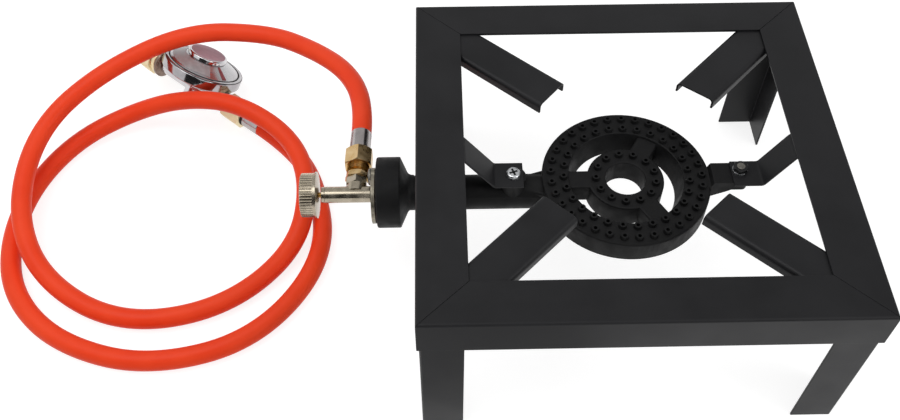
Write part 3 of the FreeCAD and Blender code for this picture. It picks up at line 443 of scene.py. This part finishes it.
# %% Thread on the brass neck
TAP_AXIS = Vector((MIDDLE_X - 197.2, 0.0, 85.6)) * MM
BRANCH_LEAN = math.radians(2)
BRANCH_WAY = Vector((math.sin(BRANCH_LEAN), math.cos(BRANCH_LEAN), 0.0))
CREST_PLACES = (18.7, 19.8, 20.9, 22.0, 23.1, 24.2, 25.3)   # millimetres along the branch
NECK_R, CREST_TALL, CREST_SUNK = 8.0, 0.55, 0.2
CREST_STEPS = 48


def ridge_mesh(name, along_mm):
    """One ring of thread crest around the branch."""
    across = Vector((0, 0, 1))
    other = BRANCH_WAY.cross(across)
    middle = TAP_AXIS + BRANCH_WAY * (along_mm * MM)
    profile = ((-CREST_TALL, -CREST_SUNK), (0.0, CREST_TALL), (CREST_TALL, -CREST_SUNK))
    work = bmesh.new()
    rings = []
    for turn in turns(CREST_STEPS):
        out = across * math.cos(turn) + other * math.sin(turn)
        spots = [middle + BRANCH_WAY * (a * MM) + out * ((NECK_R + b) * MM) for a, b in profile]
        rings.append([work.verts.new(spot) for spot in spots])
    join_rings(work, rings + rings[:1])
    bmesh.ops.recalc_face_normals(work, faces=work.faces)
    return mesh_from(work, name)


for number, along in enumerate(CREST_PLACES):
    name = f"neck_thread_{number}"
    place_piece(name, ridge_mesh(name, along), "hose_adaptor", other_finish=brass)
print("thread ridges on the neck:", len(CREST_PLACES))

# %% [markdown]
# ## Screw recess
# The cross recess of the left strap screw is dark with shade. A darker finish would need a mask of the
# same cross, so a thin black cross lies low in the recess instead, as painted shade.

# %% Painted shade in the screw's recess
HEAD_TOP = 111.4            # the screw head's, in millimetres over the floor
SCREW_TOP = Vector((MIDDLE_X - 80.3, -1.6, HEAD_TOP)) * MM
CROSS_SINK = Vector((0, 0, 1.2)) * MM
CROSS_SIZE = (6.0 * MM, 1.5 * MM, 0.6 * MM, 1.0)
CROSS_TURNS = (20, 110)     # degrees
# the two black bars are painted shade, not a colour of the screw
work = bmesh.new()
for turn in CROSS_TURNS:
    turned_box = (Matrix.Translation(SCREW_TOP - CROSS_SINK)
                  @ Matrix.Rotation(math.radians(turn), 4, "Z")
                  @ Matrix.Diagonal(CROSS_SIZE))
    bmesh.ops.create_cube(work, size=1.0, matrix=turned_box)
place_piece("recess_shade", mesh_from(work, "recess_shade"), "strap_screw_left",
            other_finish=black_steel)
print("dark bars in the recess:", len(CROSS_TURNS))

# %% [markdown]
# ## Seams
# The regulator shows two thin dark lines of shade, one where its cover meets the crimped rim and one on
# the rim's rounded edge. Grooves this narrow would hardly hold a shadow, so each line is a thin black
# ring of painted shade. Both rings have the black of the seal ring at the outlet, in whose mesh they
# are.

# %% Painted shade in the seams of the regulator
REGULATOR_MM = Vector((-303.114, 190.001, 34.508))
OUTLET_WAY = Vector((0.7910901, -0.6004701, -0.1166707))
FACE_WAY = Vector((0.432827, 0.414707, 0.800424))
SIDE_WAY = FACE_WAY.cross(OUTLET_WAY)
SEAMS = ((32.0, 2.0), (35.3, 1.2))      # radius, and height over the regulator's middle
SEAM_WIRE, SEAM_SIDES, SEAM_STEPS = 0.45, 12, 96


def add_painted_seam_shade(work, radius_mm, height_mm):
    """Add a thin closed ring of painted shade around the regulator's own axis to a mesh being built."""
    rings = []
    for turn in turns(SEAM_STEPS):
        out = OUTLET_WAY * math.cos(turn) + SIDE_WAY * math.sin(turn)
        spot = REGULATOR_MM + out * radius_mm + FACE_WAY * height_mm
        skins = [(out * math.cos(w) + FACE_WAY * math.sin(w)) * SEAM_WIRE for w in turns(SEAM_SIDES)]
        rings.append([work.verts.new((spot + skin) * MM) for skin in skins])
    for face in join_rings(work, rings + rings[:1]):
        face.smooth = True


seal_mesh = dressed["seal_ring_regulator"].data
work = bmesh.new()
work.from_mesh(seal_mesh)
# each ring is a line of painted shade in black rubber
for radius, height in SEAMS:
    add_painted_seam_shade(work, radius, height)
bmesh.ops.recalc_face_normals(work, faces=work.faces)
work.to_mesh(seal_mesh)
work.free()
print("regulator seams:", len(SEAMS), "in", dressed["seal_ring_regulator"].name)

# %% [markdown]
# ## Mouth of the cylinder nut
# The upper loop of the hose hides the far corner of this nut in the photograph. The dressed
# nut is a little shorter than the construction one, so that the corner stays hidden. Only the
# vertices at its mouth move, towards the regulator, so the rest of the nut keeps its form.

# %% Mouth of the cylinder nut
SHORTER_MM = 3.5
MOUTH_PAST_MM = 54          # vertices further out than this from the regulator move
moved = 0
for vertex in dressed["inlet_nut"].data.vertices:
    if (vertex.co / MM - REGULATOR_MM).dot(OUTLET_WAY) < -MOUTH_PAST_MM:
        vertex.co += OUTLET_WAY * (SHORTER_MM * MM)
        moved += 1
print("vertices at the nut's mouth:", moved)

# %% [markdown]

# %% [markdown]
# ## Floor
# The photograph was cut out on white. A plain white floor would stay a light grey, and one
# that glows would throw its light up under the stand. So to the camera and in mirrors this
# floor glows a little and reaches white, still with the shadow of the stand on it, and to
# all other light it is plain pale paper.

# %% Floor
def looked_at(tree):
    """1 where a surface is seen by the camera, in a mirror or through glass, and 0 elsewhere."""
    path = add(tree, "ShaderNodeLightPath")
    seen = path.outputs["Is Camera Ray"]
    for kind in ("Is Glossy Ray", "Is Transmission Ray"):
        seen = add(tree, "ShaderNodeMath", {0: seen, 1: path.outputs[kind]},
                   operation="MAXIMUM").outputs[0]
    return seen


floor_material, tree, output = blank_material("pale_floor")
seen = looked_at(tree)
paper = add(tree, "ShaderNodeBsdfDiffuse", {"Color": linear("#DADADA")})
thin = add(tree, "ShaderNodeBsdfDiffuse", {"Color": linear("#ABABAB")})
glow = add(tree, "ShaderNodeEmission", {"Color": linear("#FFFFFF"), "Strength": 0.82})
lifted = add(tree, "ShaderNodeAddShader", {0: thin.outputs[0], 1: glow.outputs[0]})
mixed = add(tree, "ShaderNodeMixShader", {0: seen, 1: paper.outputs[0], 2: lifted.outputs[0]})
tree.links.new(mixed.outputs[0], output.inputs["Surface"])

FLOOR_HALF = 4.0
work = bmesh.new()
bmesh.ops.create_grid(work, x_segments=1, y_segments=1, size=FLOOR_HALF)
floor_mesh = mesh_from(work, "floor")
floor = bpy.data.objects.new("floor", floor_mesh)
scene.collection.objects.link(floor)
floor_mesh.materials.append(floor_material)
print("floor", FLOOR_HALF * 2, "m wide")

# %% [markdown]
# ## Light
# The photographer's light is soft and comes mostly from above on the left. A large square
# lamp hangs there, a smaller one stands in front on the right, and a pale sky fills the rest.
# Seen directly the sky is pure white, so that the picture keeps its white edges.

# %% Sky and lamps
world = bpy.data.worlds.new("studio")
scene.world = world
world.use_nodes = True
tree = world.node_tree
tree.nodes.clear()
seen = looked_at(tree)
pale = add(tree, "ShaderNodeBackground", {"Color": linear("#FFFFFF"), "Strength": 0.45})
white = add(tree, "ShaderNodeBackground", {"Color": linear("#FFFFFF"), "Strength": 1.0})
sky = add(tree, "ShaderNodeMixShader", {0: seen, 1: pale.outputs[0], 2: white.outputs[0]})
tree.links.new(sky.outputs[0], add(tree, "ShaderNodeOutputWorld").inputs["Surface"])


def soft_lamp(name, place, aim, wide, watts):
    """A square soft lamp that faces a point."""
    lamp = bpy.data.objects.new(name, bpy.data.lights.new(name, "AREA"))
    lamp.data.size = wide
    lamp.data.energy = watts
    back = (Vector(place) - Vector(aim)).normalized()
    turn = back.to_track_quat("Z", "Y").to_matrix().to_4x4()
    lamp.matrix_world = Matrix.Translation(place) @ turn
    scene.collection.objects.link(lamp)


soft_lamp("key_lamp", (-0.7, 0.0, 1.6), (-0.1, 0.0, 0.0), 1.2, 10.5)
soft_lamp("side_lamp", (1.4, -0.7, 0.8), (0.0, 0.0, 0.05), 1.0, 9.0)
print("sky and lamps made")

# %% [markdown]
# ## Screens for the mirrors
# Polished metal shows what stands around it, and a studio has dark corners that the camera
# never sees. Screens outside the picture, seen only by mirrors, do this without taking any
# light away: a dark one in front gives the chrome and the nickel their black bands, and a
# grey one up behind keeps the black steel black. Smaller ones put a dark line along the
# front fold, grey the right of the chrome, and darken the left apron.

# %% Screens
def mirror_screen(name, corners, level):
    """A flat screen of one grey that only mirrors see. It throws no light and no shadow."""
    material, tree, output = blank_material(name)
    shade = add(tree, "ShaderNodeEmission", {"Color": linear("#FFFFFF"), "Strength": level})
    tree.links.new(shade.outputs[0], output.inputs["Surface"])
    mesh = bpy.data.meshes.new(name)
    mesh.from_pydata(corners, [], [(0, 1, 2, 3)])
    mesh.materials.append(material)
    screen = bpy.data.objects.new(name, mesh)
    scene.collection.objects.link(screen)
    screen.visible_camera = screen.visible_diffuse = screen.visible_shadow = False
    screen.visible_transmission = screen.visible_volume_scatter = False


SCREENS = {                 # four corners, and how bright the screen is
    "front_screen": ([(-1.45, -1.15, 0.12), (-0.15, -1.40, 0.12),
                      (-0.10, -0.95, 1.6), (-1.0, -0.85, 1.6)], 0.03),
    "back_screen": ([(-1.3, 1.5, 0.45), (1.7, 1.5, 0.45), (1.7, -0.1, 1.8), (-1.3, -0.1, 1.8)], 0.6),
    "right_screen": ([(1.3, -1.5, 0.0), (1.3, 1.4, 0.0), (1.3, 1.4, 1.0), (1.3, -1.5, 1.0)], 0.3),
    "low_screen": ([(-2.5, -2.2, 0.01), (-0.3, -2.2, 0.01),
                    (-0.3, -2.2, 0.35), (-2.5, -2.2, 0.35)], 0.05),
    # a darker sheet lying on the floor: a painted shadow that only the apron's mirror sees
    "apron_screen": ([(-0.14, -0.40, 0.002), (0.03, -0.40, 0.002),
                      (0.03, -0.16, 0.002), (-0.14, -0.16, 0.002)], 0.57),
    "fold_screen": ([(-0.1, -1.6, 0.0), (1.9, -1.6, 0.0), (1.9, -1.6, 0.5), (-0.1, -1.6, 0.5)], 0.05),
}
for name, (corners, level) in SCREENS.items():
    mirror_screen(name, corners, level)
print("screens made:", len(SCREENS))

# %% [markdown]
# ## Colours
# The Standard view shows each colour as it was written, where a film-like view would grey the white
# floor.

# %% Settings
scene.view_settings.view_transform = "Standard"
